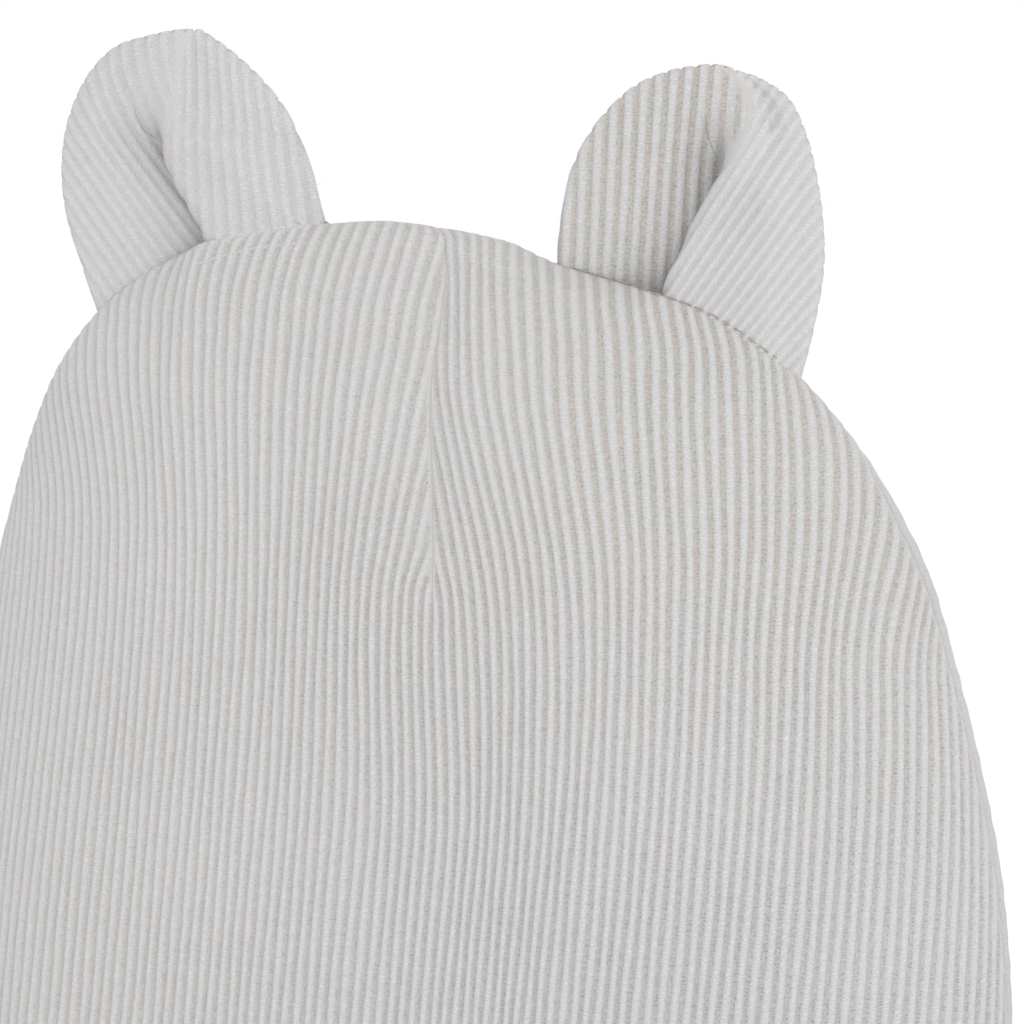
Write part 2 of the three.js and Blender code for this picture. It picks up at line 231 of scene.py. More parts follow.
EAR_ROLL = 1.5
EAR_SCALLOP = 0.28
# Rows between which the fold opens, and distances in mm from the pleat and from the fold
OPEN_ROWS = (2.6, 4)
OPEN_FROM_PLEAT = (-1.5, 0.5)
OPEN_PAST_FOLD = (0.3, 1.5)
PLAIN_BY_FOLD = (0.5, 1.5)
SWITCH_BY_FOLD = (0.25, 0.6)
# Length in mm over which the ribs of an ear bend at its tip, and the slope of the view across and up
BEND_LENGTH = 16.0
VIEW_SHEAR = (0.176, 0.14)

Panel = namedtuple("Panel", "name side reach dents")
PANELS = (
    Panel("front_panel", -1, FRONT_DEPTH, FRONT_DENTS),
    Panel("back_panel", 1, BACK_DEPTH, BACK_DENTS),
)


def ease(share):
    """Smooth step: three squares less two cubes of the share."""
    return share * share * (3 - 2 * share)


def ramp(value, low, high):
    """Smooth step of a value between two ends, flat outside them."""
    return ease(np.clip((value - low) / (high - low), 0, 1))


def mix(a, b, share):
    """Straight blend from a to b."""
    return a + (b - a) * share


def along(column, place):
    """Catmull-Rom cubic through a column of a table, with place counted in rows."""
    padded = np.concatenate([[2 * column[0] - column[1]], column, [2 * column[-1] - column[-2]]])
    row = np.clip(np.floor(place).astype(int), 0, len(column) - 2)
    f = np.clip(place - row, 0, 1)
    before, a, b, after = (padded[row + k] for k in range(4))
    return a + 0.5 * f * (b - before + f * (2 * before - 5 * a + 4 * b - after
                                            + f * (3 * (a - b) + after - before)))


def lookup(grid, row, column):
    """Value of a grid between its knots, blended straight in both directions."""
    i = np.clip(np.floor(row).astype(int), 0, grid.shape[0] - 2)
    j = np.clip(np.floor(column).astype(int), 0, grid.shape[1] - 2)
    f, g = row - i, column - j
    low = mix(grid[i, j], grid[i, j + 1], g)
    high = mix(grid[i + 1, j], grid[i + 1, j + 1], g)
    return mix(low, high, f)


def unit(vectors):
    """Vectors scaled to length one."""
    return vectors / np.maximum(np.linalg.norm(vectors, axis=-1, keepdims=True), 1e-12)


def lengths(points, axis):
    """Distance run along one axis of a grid of points, from 0 at its first line."""
    steps = np.linalg.norm(np.diff(points, axis=axis), axis=-1)
    start = np.zeros_like(np.take(steps, [0], axis=axis))
    return np.concatenate([start, np.cumsum(steps, axis=axis)], axis=axis)


# Half gap of the crown seam at knots along x: shut between the ears, open just for their cloth
SEAM_HALF = 0.06
slot_knots = []
for slot_ear in (LEFT_EAR, RIGHT_EAR):
    base = {name: column[0] for name, column in slot_ear.rows.items()}
    middle = slot_ear.middle * HALF_WIDTH
    stack_start = middle + base["fold"] * EAR_WIDTH
    stack_end = middle + (base["fold"] + base["overlap"]) * EAR_WIDTH + 2 * PLEAT_RADIUS + PAIR_HALF
    pair, stack = EAR_LAYER + EAR_GAP, EAR_LAYER + EAR_GAP + 2 * PLEAT_RADIUS
    slot_knots += [
        (middle + base["xl"] * EAR_WIDTH - 0.8, SEAM_HALF),
        (middle + base["xl"] * EAR_WIDTH + 0.5, pair),
        (stack_start - 6, pair + 0.2),
        (stack_start - 2, stack),
        (stack_end, stack),
        (middle + base["xr"] * EAR_WIDTH - 0.5, pair + 0.05 * 2 * PLEAT_RADIUS),
        (middle + base["xr"] * EAR_WIDTH + 0.8, SEAM_HALF),
    ]
SLOT_X, SLOT_HALF = np.array(slot_knots).T


def seam_half(x):
    """Half gap of the seam between the panels, eased from knot to knot."""
    i = np.clip(np.searchsorted(SLOT_X, x), 1, len(SLOT_X) - 1)
    return mix(SLOT_HALF[i - 1], SLOT_HALF[i], ramp(x, SLOT_X[i - 1], SLOT_X[i]))


def sway(place):
    """Way in mm that the dart line lies to the right of its straight course."""
    height = along(SECTIONS["height"], place) * HAT_HEIGHT
    top = ramp(height, *TOP_SWAY_HEIGHTS) * (1 - ramp(place, TOP - 1, TOP))
    return LOW_SWAY * (1 - ramp(height, *LOW_SWAY_HEIGHTS)) + TOP_SWAY * top


def skin(panel, place, u):
    """Smooth outer skin of a panel: each level section is a flattened oval, its depth the power
    SECTION_PINCH of one less |u| to the power SECTION_SQUARENESS, pushed in by bell-shaped dents
    and by the dart, and closed on the seam gap by a right-angled sum."""
    half = np.maximum(along(SECTIONS["half"], place), 0) * HALF_WIDTH
    x = along(SECTIONS["lean"], place) * HALF_WIDTH + half * u
    x = x + along(SECTIONS["front"], place) * HALF_WIDTH * (1 - u * u)
    z = along(SECTIONS["height"], place) * HAT_HEIGHT + along(SECTIONS["tilt"], place) * half * u
    x = x + sway(place) * np.exp(-(half * u / SWAY_REACH) ** 2) * (1 - u * u)
    bulge = np.maximum(1 - np.abs(u) ** SECTION_SQUARENESS, 0) ** SECTION_PINCH
    depth = np.maximum(along(SECTIONS["depth"], place), 0) * panel.reach * bulge
    inward = 0
    for dx, dz, wide, tall, push in zip(*panel.dents.values()):
        away = (x / HALF_WIDTH - dx) / wide
        above = (z / HAT_HEIGHT - dz) / tall
        inward = inward + panel.reach * push * np.exp(-away ** 2 - above ** 2)
    dart = np.clip(3 * (z - DART_TIP) / DART_LENGTH, 0, 1) * np.clip(depth / 6, 0, 1)
    inward = inward + DART_DEPTH * ease(dart) * np.exp(-(half * u / DART_HALF_WIDTH) ** 2)
    swell = depth - inward * np.clip(depth / 8, 0, 1)
    return np.stack([x, panel.side * np.hypot(swell, seam_half(x)), z], axis=-1)


def outward(panel, place, u):
    """Unit normal of the skin from small steps across and up it, level at the rim."""
    step = 0.004
    across = skin(panel, place, np.minimum(u + step, 1)) - skin(panel, place, np.maximum(u - step, -1))
    up = skin(panel, np.minimum(place + step, TOP), u) - skin(panel, np.maximum(place - step, 0), u)
    normal = -panel.side * np.cross(across, up)
    normal[..., 2] *= ramp(place, 0, 0.3)
    return unit(normal)


class Spread:
    """Half of a panel, on one side of its dart line: how far its cloth reaches, where its ribs lie and
    where they end. On the right the back panel wraps a little way round to the front."""

    KNOTS = 420
    EVEN = 160

    def __init__(self, panel, side):
        self.panel, self.side, self.partner = panel, side, None
        self.place = np.linspace(0, TOP, self.KNOTS)
        u = np.sin(np.linspace(0, math.pi / 2, 2 * self.EVEN))
        points = skin(panel, self.place[:, None], side.sign * u[None, :])
        arcs = lengths(points, axis=1)
        self.arc = arcs[:, -1]
        even = np.linspace(0, 1, self.EVEN)
        self.u_grid = np.array([np.interp(even, arc / max(arc[-1], 1e-9), u) for arc in arcs])
        wrap = SEAM_WRAP * (side.sign > 0) * (1 - ramp(self.place, *WRAP_PLACES))
        self.reach = self.arc + panel.side * wrap
        height = lengths(points[:, :1], axis=0)[:, 0]
        self.slope = np.gradient(self.reach, height)
        self.widest = np.interp(WIDEST_PLACE, self.place, self.reach)

    def flat(self, rib):
        """Distance of a rib from the dart line in the uncut cloth: even pitch that widens as a cube."""
        return RIB_PITCH * (1 + RIB_BIAS * self.side.sign) * rib + RIB_SPREAD * rib ** 3

    def rib_at_side(self):
        """Number of the rib that lies on the side seam where the hat is widest, with the ribs set over
        there by the sway of the dart line."""
        ribs = np.linspace(0, 80, 8001)
        set_over = self.side.sign * sway(WIDEST_PLACE)
        return np.interp(self.widest + set_over, self.flat(ribs), ribs)

    def distance(self, rib, place):
        """Distance of a rib from the dart line at a place: gathered with the section below the widest
        one, drawn in by the cloth that the dart takes, and pulled out towards the side seam."""
        side, flat = self.side, self.flat(rib)
        height = along(SECTIONS["height"], place) * HAT_HEIGHT
        reach = np.interp(place, self.place, self.reach)
        gather = np.where(place < WIDEST_PLACE, reach / self.widest, 1)
        felt = np.exp(-(flat / side.reach) ** side.power)
        felt = felt * mix(1 - np.exp(-flat / TIP_FADE), 1, ramp(height, *TAKEN_HEIGHTS))
        lost = side.lost * ramp(height, side.low, side.high) * felt
        lost = lost + side.beside * ramp(height, *BESIDE_HEIGHTS) * np.exp(-flat / BESIDE_FADE)
        lost = lost + side.lean * ramp(place, *LEAN_PLACES) * ramp(flat, *LEAN_DISTANCES)
        near, far = CURL_FADES
        lost = lost + (side.curl * ramp(place, CURL_START, TOP)
                       * (1 - np.exp(-flat / near)) * np.exp(-flat / far))
        lost = lost + side.sign * sway(place) * (1 - np.exp(-(flat / SWAY_REACH) ** 2))
        flare = (1 - ramp(height, *FLARE_HEIGHTS)) * ramp(flat, *FLARE_DISTANCES)
        flare = flare * (1 - ramp(flat, self.widest - FLARE_MARGIN, self.widest))
        lost = lost - side.flare * flare
        waver = sum(amount * np.sin(up * height + by * rib) for amount, up, by in WAVERS)
        away = (flat - lost) * gather + waver * (1 - np.exp(-rib / 2))
        top = side.pulled
        pull = SEAM_PULL * ramp(place, top - PULL_BEFORE, top)
        pull = pull * (1 - ramp(place, *(top + after for after in PULL_AFTER)))
        return away + pull * np.exp(-np.maximum(reach - away, 0) / PULL_REACH)

    def end(self, rib):
        """Place where a rib runs into the side or crown seam: first change of sign up its line."""
        place = np.linspace(WIDEST_PLACE, TOP, 1600)
        away = self.distance(rib[:, None], place[None, :])
        room = np.interp(place, self.place, self.reach)[None, :] - away
        room[:, 0] = np.maximum(room[:, 0], 1e-9)
        room[:, -1] = -1e-9
        k = np.argmax(room < 0, axis=1)
        rows = np.arange(len(rib))
        before, after = room[rows, k - 1], room[rows, k]
        return mix(place[k - 1], place[k], before / (before - after))

    def surface(self, place, away):
        """Skin points and normals that far from the dart line, run on over the side onto the partner."""
        arc = np.interp(place, self.place, self.arc)
        own = self.at(place, away, arc)
        past = away > arc
        if not past.any():
            return own
        turned = self.partner.at(place, np.interp(place, self.place, self.partner.arc) - (away - arc))
        return [np.where(past[..., None], over, here) for over, here in zip(turned, own)]

    def at(self, place, away, arc=None):
        """Skin points and normals of this half alone."""
        arc = np.interp(place, self.place, self.arc) if arc is None else arc
        row = place / TOP * (self.KNOTS - 1)
        column = np.clip(away / np.maximum(arc, 1e-9), 0, 1) * (self.EVEN - 1)
        u = self.side.sign * lookup(self.u_grid, row, column)
        return skin(self.panel, place, u), outward(self.panel, place, u)

    def edge(self, place, away):
        """Distance to the side seam, square to it."""
        slope = np.interp(place, self.place, self.slope)
        return (np.interp(place, self.place, self.reach) - away) / np.hypot(1, slope)


def roll(distance, width):
    """Quarter circle: 1 at an edge, 0 from one width inside it."""
    inside = 1 - np.clip(distance / width, 0, 1)
    return 1 - np.sqrt(np.maximum(1 - inside ** 2, 0))


def rib_profile(rib):
    """Cross-section of the ribs: round crests, with valleys as wide as they are on the whole numbers."""
    return ramp(np.abs(np.sin(math.pi * rib)), 0.18, 0.93)


SPREADS = {(panel.name, side.sign): Spread(panel, side) for panel in PANELS for side in (LEFT, RIGHT)}
for spread_sign in (-1, 1):
    first, second = (SPREADS[panel.name, spread_sign] for panel in PANELS)
    first.partner, second.partner = second, first


def panel_side(panel, side):
    """Columns of one half of a panel, each along its own rib, as grids: outer and inner points, rib
    numbers, lengths up the ribs and plainness."""
    spread = SPREADS[panel.name, side.sign]
    last = spread.rib_at_side()
    ribs = np.arange(0, last, 1 / COLUMNS_IN_RIB)
    ribs = np.append(ribs[ribs < last - 0.5 / COLUMNS_IN_RIB], last)
    end = spread.end(ribs)[None, :]
    share = np.linspace(0, 1, PANEL_ROWS + 1)[:, None]
    place = end * (1 - (1 - share) ** (ROW_CROWDING * TOP / end))
    rib = np.broadcast_to(ribs, place.shape)
    raw = spread.distance(rib, place)
    away = np.maximum(raw, 0.004 * rib)
    points, normals = spread.surface(place, away)
    z = points[..., 2]
    seam = spread.edge(place, away)
    dart = np.hypot(away, np.maximum(DART_TIP - z, 0))
    depth = RIB_HEIGHT * (rib_profile(rib) - 1)
    wrapped = side.sign * panel.side > 0
    strip = 1 - ramp(seam, SEAM_WRAP, SEAM_WRAP + 1.5) if wrapped else 1 - ramp(seam, 0.1, EDGE_ROLL)
    strip = strip * (side.sign > 0) * (1 - ramp(place, *STRIP_PLACES))
    over_tip = ramp(z, *LINE_HEIGHTS)
    squeezed = over_tip * (1 - ramp(raw, 0.0, SQUEEZE_REACH))
    depth = mix(depth, -SQUEEZE_DEPTH * RIB_HEIGHT, squeezed)
    line = over_tip * (1 - ramp(raw, 0.0, LINE_REACH[side.sign]))
    plain = np.maximum(strip, 2 * line)
    depth *= ramp(seam, 0, EDGE_ROLL) * (1 - strip)
    between_ears = ramp(points[..., 0], *CROWN_LEFT) * (1 - ramp(points[..., 0], *CROWN_RIGHT))
    crown = ramp(place, *CROWN_PLACES) * between_ears
    depth -= EDGE_SINK * roll(seam, EDGE_ROLL) * (1 - 0.6 * crown)
    depth += CROWN_LIFT * crown * (1 - ramp(seam, *CROWN_REACH))
    dip = (1 - np.clip(dart / SINK_REACH, 0, 1)) ** 2
    depth -= side.sink * dip * ramp(z, *SINK_HEIGHTS)
    depth -= EDGE_ROLL * roll(z, EDGE_ROLL)
    pucker = PUCKER_HEIGHT * np.sin(2 * math.pi * z / PUCKER_LENGTH) * np.exp(-away / PUCKER_FADE)
    pucker = pucker * ramp(z, *PUCKER_HEIGHTS)
    ripple = sum(RIPPLE_HEIGHT * np.sin(up * z + start) for up, start in RIPPLES)
    depth += pucker * ramp(dart, 0, 1) + strip * ripple
    outer = points + normals * depth[..., None]
    wall = WALL + HEM_EXTRA * ramp(HEM_HEIGHT + HEM_STEP - z, 0, HEM_STEP)
    inner = points - normals * wall[..., None]
    cross = panel.side * inner[..., 1]
    free = (seam < 2 * SEAM_WRAP) & (side.sign > 0) & (place < 9.5)
    inner[..., 1] = panel.side * np.where(free, cross, np.maximum(cross, seam_half(inner[..., 0]) + 0.02))
    inner[..., 2] = np.maximum(inner[..., 2], 0)
    return outer, inner, rib * side.sign, lengths(points, axis=0), plain


def grid_faces(rows, columns, offset=0, turned=False):
    """Quads of a grid of vertices numbered row by row, as an array of corners."""
    r, c = np.meshgrid(np.arange(rows - 1), np.arange(columns - 1), indexing="ij")
    a = (offset + r * columns + c).ravel()
    corners = [a, a + 1, a + columns + 1, a + columns]
    return np.stack(corners[::-1] if turned else corners, axis=1)


def strip_faces(first, second):
    """Quads between two lines of vertices of the same count."""
    return np.stack([first[:-1], first[1:], second[1:], second[:-1]], axis=1)


def step_faces(fine, coarse, count):
    """Triangles from a fine line of vertices to a coarse one with every count-th of them, fanned from
    the nearest coarse vertex, and one triangle for each coarse step."""
    k = np.arange(len(fine) - 1)
    near = np.minimum((k + count // 2) // count, len(coarse) - 1)
    fans = np.stack([fine[:-1], fine[1:], coarse[near]], axis=1)
    starts = np.arange(len(coarse) - 1)
    turn = np.minimum(starts * count + count - count // 2, len(fine) - 1)
    joins = np.stack([fine[turn], coarse[starts + 1], coarse[starts]], axis=1)
    return np.concatenate([fans, joins])


def add_object(name, data):
    """New object of the scene with its data."""
    made = bpy.data.objects.new(name, data)
    bpy.context.scene.collection.objects.link(made)
    return made


def make_mesh(name, points, quads, triangles, uv, plain=None):
    """Mesh object from arrays in mm, smooth shaded, with one UV pair for each vertex and, if given, one
    plainness: 1 where the knit shows no ribs, 1.5 where it shows no stitches, 2 on the seam line."""
    mesh = bpy.data.meshes.new(name)
    mesh.vertices.add(len(points))
    mesh.vertices.foreach_set("co", (points * MM).astype(np.float32).ravel())
    corners = np.concatenate([quads.ravel(), triangles.ravel()]).astype(np.int32)
    sizes = np.concatenate([np.full(len(quads), 4), np.full(len(triangles), 3)])
    mesh.loops.add(len(corners))
    mesh.loops.foreach_set("vertex_index", corners)
    mesh.polygons.add(len(sizes))
    starts = np.concatenate([[0], np.cumsum(sizes)[:-1]])
    mesh.polygons.foreach_set("loop_start", starts.astype(np.int32))
    mesh.polygons.foreach_set("use_smooth", np.ones(len(sizes), dtype=bool))
    layer = mesh.uv_layers.new(name="Knit")
    layer.data.foreach_set("uv", uv[corners].astype(np.float32).ravel())
    if plain is not None:
        values = mesh.attributes.new("Plain", "FLOAT", "POINT")
        values.data.foreach_set("value", plain.astype(np.float32))
    mesh.update(calc_edges=True)
    mesh.validate()
    return add_object(name, mesh)


# How many of the first faces of each cloth piece are its outer side
OUTER_FACES = {}


def closed_shell(name, outer, inner, uv, plain, picked, count, flip):
    """Closed cloth piece: a fine outer grid, a coarse inner one with the picked columns, and the strips
    round their four sides."""
    rows, columns = outer.shape[:2]
    narrow = inner.shape[1]
    start = rows * columns
    fine = np.arange(start).reshape(rows, columns)
    coarse = start + np.arange(rows * narrow).reshape(rows, narrow)
    quads = [grid_faces(rows, columns), grid_faces(rows, narrow, start, turned=True)]
    quads.append(strip_faces(coarse[:, 0], fine[:, 0])[:, ::-1])
    quads.append(strip_faces(fine[:, -1], coarse[:, -1])[:, ::-1])
    triangles = [step_faces(fine[-1], coarse[-1], count), step_faces(fine[0], coarse[0], count)[:, ::-1]]
    OUTER_FACES[name] = len(quads[0])
    quads, triangles = np.concatenate(quads), np.concatenate(triangles)
    if flip:
        quads, triangles = quads[:, ::-1], triangles[:, ::-1]
    points = np.concatenate([outer.reshape(-1, 3), inner.reshape(-1, 3)])
    uv = np.concatenate([uv.reshape(-1, 2), uv[:, picked].reshape(-1, 2)])
    plain = np.concatenate([plain.ravel(), plain[:, picked].ravel()])
    return make_mesh(name, points, quads, triangles, uv, plain)


def every(columns, count):
    """Every count-th of some columns, with the last one."""
    picked = np.arange(0, columns, count)
    return picked if picked[-1] == columns - 1 else np.append(picked, columns - 1)


def make_panel(panel):
    """Front or back of the hat, ribbed, with rolled seam edges, dart and turned hem."""
    left, right = panel_side(panel, LEFT), panel_side(panel, RIGHT)
    outer, inner, rib, length, plain = (np.concatenate([a[:, :0:-1], b], axis=1)
                                        for a, b in zip(left, right))
    uv = np.stack([rib, length], axis=-1)
    picked = every(outer.shape[1], COLUMNS_IN_RIB)
    return closed_shell(panel.name + "_cloth", outer, inner[:, picked], uv, plain, picked,
                        COLUMNS_IN_RIB, panel.side > 0)


def crown_line():
    """Crown seam in the XZ plane, from the left side over the top to the right side."""
    place = np.linspace(TOP - 7, TOP, 400)
    left = skin(PANELS[0], place, np.full_like(place, -1.0))
    right = skin(PANELS[0], place[::-1], np.full_like(place, 1.0))
    line = np.concatenate([left, right[1:]])
    return line[:, 0], line[:, 2]


CROWN_X, CROWN_Z = crown_line()


def crown_height(x):
    """Height of the crown seam at one x."""
    return np.interp(x, CROWN_X, CROWN_Z)


def ear_path(ear, row, stretch, share):
    """Level path of the folded ear cloth in five stretches: behind, half turn, back under the fold,
    half turn, and in front, tapering to a flat sheet at the tip."""
    get = {name: along(column, row) for name, column in ear.rows.items()}
    middle = ear.middle * HALF_WIDTH
    left, right, fold = (middle + get[name] * EAR_WIDTH for name in ("xl", "xr", "fold"))
    overlap = np.maximum(get["overlap"] * EAR_WIDTH, 0.2)
    angle = np.clip(get["turn"], 0.04, 1) * math.pi
    radius = np.minimum(PLEAT_RADIUS * math.pi, 0.16 * (right - left)) / angle
    advance = 2 * radius * np.sin(angle) + overlap * np.cos(angle)
    drop = 2 * radius * (1 - np.cos(angle)) + overlap * np.sin(angle)
    reversed_share = ramp(angle / math.pi, 0.3, 1)
    pleat = fold + reversed_share * (radius + overlap / 2)
    start_x, start_y = pleat - advance / 2, drop / 2

    def turned(part):
        return radius * np.sin(part), -radius * (1 - np.cos(part))

    behind_x = mix(left, start_x, share)
    behind_y = start_y * (1 - 0.9 * ramp(fold - PAIR_HALF - behind_x, 0, PLEAT_RELAX))
    first_x, first_y = turned(angle * share)
    full_x, full_y = turned(angle)
    last_x, last_y = turned(angle * (1 - share))
    front_x = mix(start_x + advance, right, share)
    hidden = pleat + reversed_share * (radius + overlap / 2) + PAIR_HALF
    room = np.clip(right - hidden - 0.5, 1, PLEAT_RELAX)
    front_y = -start_y * (1 - 0.95 * ramp(front_x - hidden, 0, room))
    under_x = start_x + full_x + overlap * share * np.cos(angle)
    under_y = start_y + full_y - overlap * share * np.sin(angle)
    xs = [behind_x, start_x + first_x, under_x, start_x + advance - last_x, front_x]
    ys = [behind_y, start_y + first_y, under_y, -start_y - last_y, front_y]
    x, y = (np.select([stretch == k for k in range(len(xs))], values) for values in (xs, ys))
    across = np.clip((x - left) / (right - left), 0, 1)
    base_left, base_right = (middle + ear.rows[name][0] * EAR_WIDTH for name in ("xl", "xr"))
    crown_left, crown_right = crown_height(base_left), crown_height(base_right)
    z_left = crown_left + get["zl"] * EAR_HEIGHT
    z_right = crown_right + get["zr"] * EAR_HEIGHT
    held = np.clip(x, base_left, base_right)
    chord = mix(crown_left, crown_right, (held - base_left) / (base_right - base_left))
    low = (1 - row / EAR_TOP) ** 3
    z = mix(z_left, z_right, across) + low * (crown_height(held) - EAR_SINK - chord)
    z = z + ear.tip * (row / EAR_TOP) ** 6 * (1 - (2 * across - 1) ** 2)
    return np.stack([x, y, z], axis=-1)


def ear_samples():
    """Stretch number and share of each column of an ear."""
    stretch = np.concatenate([np.full(count + (k == 0), k) for k, count in enumerate(EAR_GRID_STEPS)])
    share = np.concatenate([np.linspace(0, 1, count + 1)[(k > 0):]
                            for k, count in enumerate(EAR_GRID_STEPS)])
    return stretch[None, :], share[None, :]


def fan(points, ribs):
    """Rib numbers of cloth whose ribs fan out from a point, as the angle about the point times the
    mean distance over the pitch, and the distance along the ribs. The points are sheared so that the
    ribs run straight over the puffed cloth as it faces the viewer, and bent upright near the tip."""
    over = np.maximum(points[..., 2] - points[..., 2].max() + BEND_LENGTH, 0)
    x = points[..., 0] + VIEW_SHEAR[0] * points[..., 1]
    x = x - ribs.x - ribs.bend * over ** 2 / (2 * BEND_LENGTH)
    z = points[..., 2] + VIEW_SHEAR[1] * points[..., 1] - ribs.z
    reach = np.hypot(x, z)
    angle = np.arctan2(x, z * np.sign(z.mean()))
    return angle * reach.mean() / ribs.pitch, reach


def make_ear_layer(ear, side):
    """One of the two sewn layers of an ear: the folded path set off to one side, puffed between its
    edges, ribbed one way behind the fold and another in front of it, scalloped and rolled to the
    outline seam."""
    stretch, share = ear_samples()
    rise = 1 - (1 - np.linspace(0, 1, EAR_GRID_ROWS + 1)) ** 1.25
    row = (EAR_TOP * rise)[:, None]
    path = ear_path(ear, row, stretch, share)
    step = 0.002
    way = (ear_path(ear, row, stretch, np.minimum(share + step, 1))
           - ear_path(ear, row, stretch, np.maximum(share - step, 0)))
    way[..., 2] = 0
    way = unit(way)
    out = np.stack([way[..., 1], -way[..., 0], np.zeros_like(way[..., 0])], axis=-1) * -side
    run = lengths(path, axis=1)
    rise_run = lengths(path, axis=0)
    lean_left = np.gradient(path[:, 0, 0]) / np.maximum(np.gradient(path[:, 0, 2]), 1e-6)
    lean_right = np.gradient(path[:, -1, 0]) / np.maximum(np.gradient(path[:, -1, 2]), 1e-6)
    from_left = run / np.hypot(1, lean_left)[:, None]
    from_right = (run[:, -1:] - run) / np.hypot(1, lean_right)[:, None]
    edge = np.minimum(np.minimum(from_left, from_right), rise_run[-1:] - rise_run)
    puff = EAR_PUFF * np.sin(math.pi * row / EAR_TOP) ** 0.7
    puff = puff * np.where(stretch % 4 > 0, 0, np.sin(math.pi * share) ** 2)
    height = EAR_GAP + EAR_LAYER + puff
    smooth = path + out * height[..., None]
    over_fold = stretch + share > 3.4
    from_pleat = run - run[:, [int(np.argmax(stretch > 0))]]
    past_fold = run - run[:, [int(np.argmax(over_fold))]]
    opened = ramp(row, *OPEN_ROWS) * ramp(from_pleat, *OPEN_FROM_PLEAT)
    opened = opened * (1 - ramp(past_fold, *OPEN_PAST_FOLD))
    from_fold = np.abs(past_fold)
    switch = ramp(row, *OPEN_ROWS) * (1 - ramp(from_fold, *SWITCH_BY_FOLD))
    behind, infront = fan(smooth, ear.behind), fan(smooth, ear.infront)
    rib, length = (np.where(over_fold, front, back) for back, front in zip(behind, infront))
    middle = path.mean(axis=(0, 1))
    away = unit((path - middle) * (1, 0, 1))
    scallop = EAR_SCALLOP * (rib_profile(rib) - 0.5) * (1 - ramp(edge, 0, 2)) * ramp(rise_run, 1, 5)
    path = path + away * scallop[..., None]
    height = height + ear.rib_height * (rib_profile(rib) - 1) * ramp(edge, 0, EAR_ROLL) * (1 - opened)
    height = mix(height, 0.02, roll(edge, EAR_ROLL))
    outer = path + out * height[..., None]
    inner = path + out * 0.01
    uv = np.stack([rib, length], axis=-1)
    plain = np.where(over_fold, ear.infront.plain, ear.behind.plain)
    plain = np.maximum(plain, 0.5 * opened * (1 - ramp(from_fold, *PLAIN_BY_FOLD)))
    plain = np.maximum(plain, 1.5 * switch)
    picked = every(outer.shape[1], 2)
    name = ear.name + ("_front_cloth" if side < 0 else "_back_cloth")
    return closed_shell(name, outer, inner[:, picked], uv, plain, picked, 2, side > 0)


class Wire:
    """An output socket of a shader node, on which arithmetic adds Math nodes."""

    def __init__(self, tree, socket):
        self.tree, self.socket = tree, socket

    def maths(self, operation, *values):
        return node(self.tree, "Math", {"operation": operation}, dict(enumerate(values)))

    def __add__(self, other):
        return self.maths("ADD", self, other)

    def __sub__(self, other):
        return self.maths("SUBTRACT", self, other)

    def __mul__(self, other):
        return self.maths("MULTIPLY", self, other)

    def __truediv__(self, other):
        return self.maths("DIVIDE", self, other)

    def __rsub__(self, other):
        return self.maths("SUBTRACT", other, self)

    __radd__ = __add__
    __rmul__ = __mul__

    def fraction(self):
        return self.maths("FRACT", self)

    def absolute(self):
        return self.maths("ABSOLUTE", self)

    def smooth(self, low, high):
        """Smooth step from 0 at low to 1 at high."""
        return node(self.tree, "MapRange", {"interpolation_type": "SMOOTHSTEP"},
                    {"Value": self, "From Min": low, "From Max": high})


def node(tree, kind, settings, inputs, output=0):
    """Adds a node: its settings first, then the values or links of its sockets."""
    made = tree.nodes.new("ShaderNode" + kind)
    for name, value in settings.items():
        setattr(made, name, value)
    for name, value in inputs.items():
        if isinstance(value, Wire):
            tree.links.new(value.socket, made.inputs[name])
        else:
            made.inputs[name].default_value = value
    return Wire(tree, made.outputs[output]) if made.outputs else None


def axis_of(tree, vector, axis):
    """One of the three numbers of a vector."""
    return node(tree, "SeparateXYZ", {}, {0: vector}, axis)


def noise(tree, place, scale, detail):
    """Soft noise round a half, with scale as its turns in a metre."""
    return node(tree, "TexNoise", {}, {"Vector": place, "Scale": scale, "Detail": detail})


def tinted(tree, shade, layers):
    """A colour with others laid over it one by one, each with its share."""
    for share, over in layers:
        shade = node(tree, "Mix", {"data_type": "RGBA"}, {0: share, 6: shade, 7: over}, 2)
    return shade


def new_material(name):
    """New material, its empty node tree and the wire of its object coordinates."""
    material = bpy.data.materials.new(name)
    material.use_nodes = True
    tree = material.node_tree
    tree.nodes.clear()
    return material, tree, node(tree, "TexCoord", {}, {}, 3)


def cloth_surface(tree, values):
    """Matt surface for the values given, as the output of a material."""
    shader = node(tree, "BsdfPrincipled", {}, values | {"Specular IOR Level": 0.2})
    node(tree, "OutputMaterial", {}, {"Surface": shader})


CREST = (0.486, 0.486, 0.491, 1)
# Light flecks, also the painted highlight along the middle of the crests
FLECK_AND_HIGHLIGHT = (0.555, 0.556, 0.564, 1)
# Pink, beige and green-grey: colours of the painted shade in the valleys
BEIGE = (0.430, 0.397, 0.360, 1)
PINK = (0.438, 0.394, 0.372, 1)
GREEN_GREY = (0.412, 0.405, 0.376, 1)
# Painted cool reflection in the valleys low down on the right
COOL_GREY = (0.418, 0.421, 0.430, 1)
# Dark colour of the painted shade in the stitch gaps and valleys, also used for random dark specks
GAP_SHADE_AND_SPECK = (0.275, 0.250, 0.225, 1)
PLAIN = (0.440, 0.420, 0.400, 1)
SEAM_SHADE = (0.405, 0.355, 0.305, 1)
# Painted warm shade of the hollow in the left ear
HOLLOW_SHADE = (0.440, 0.372, 0.325, 1)
# Middle of the painted warm shade in the hollow of the left ear, in metres
HOLLOW = (-0.0445, 0.153)


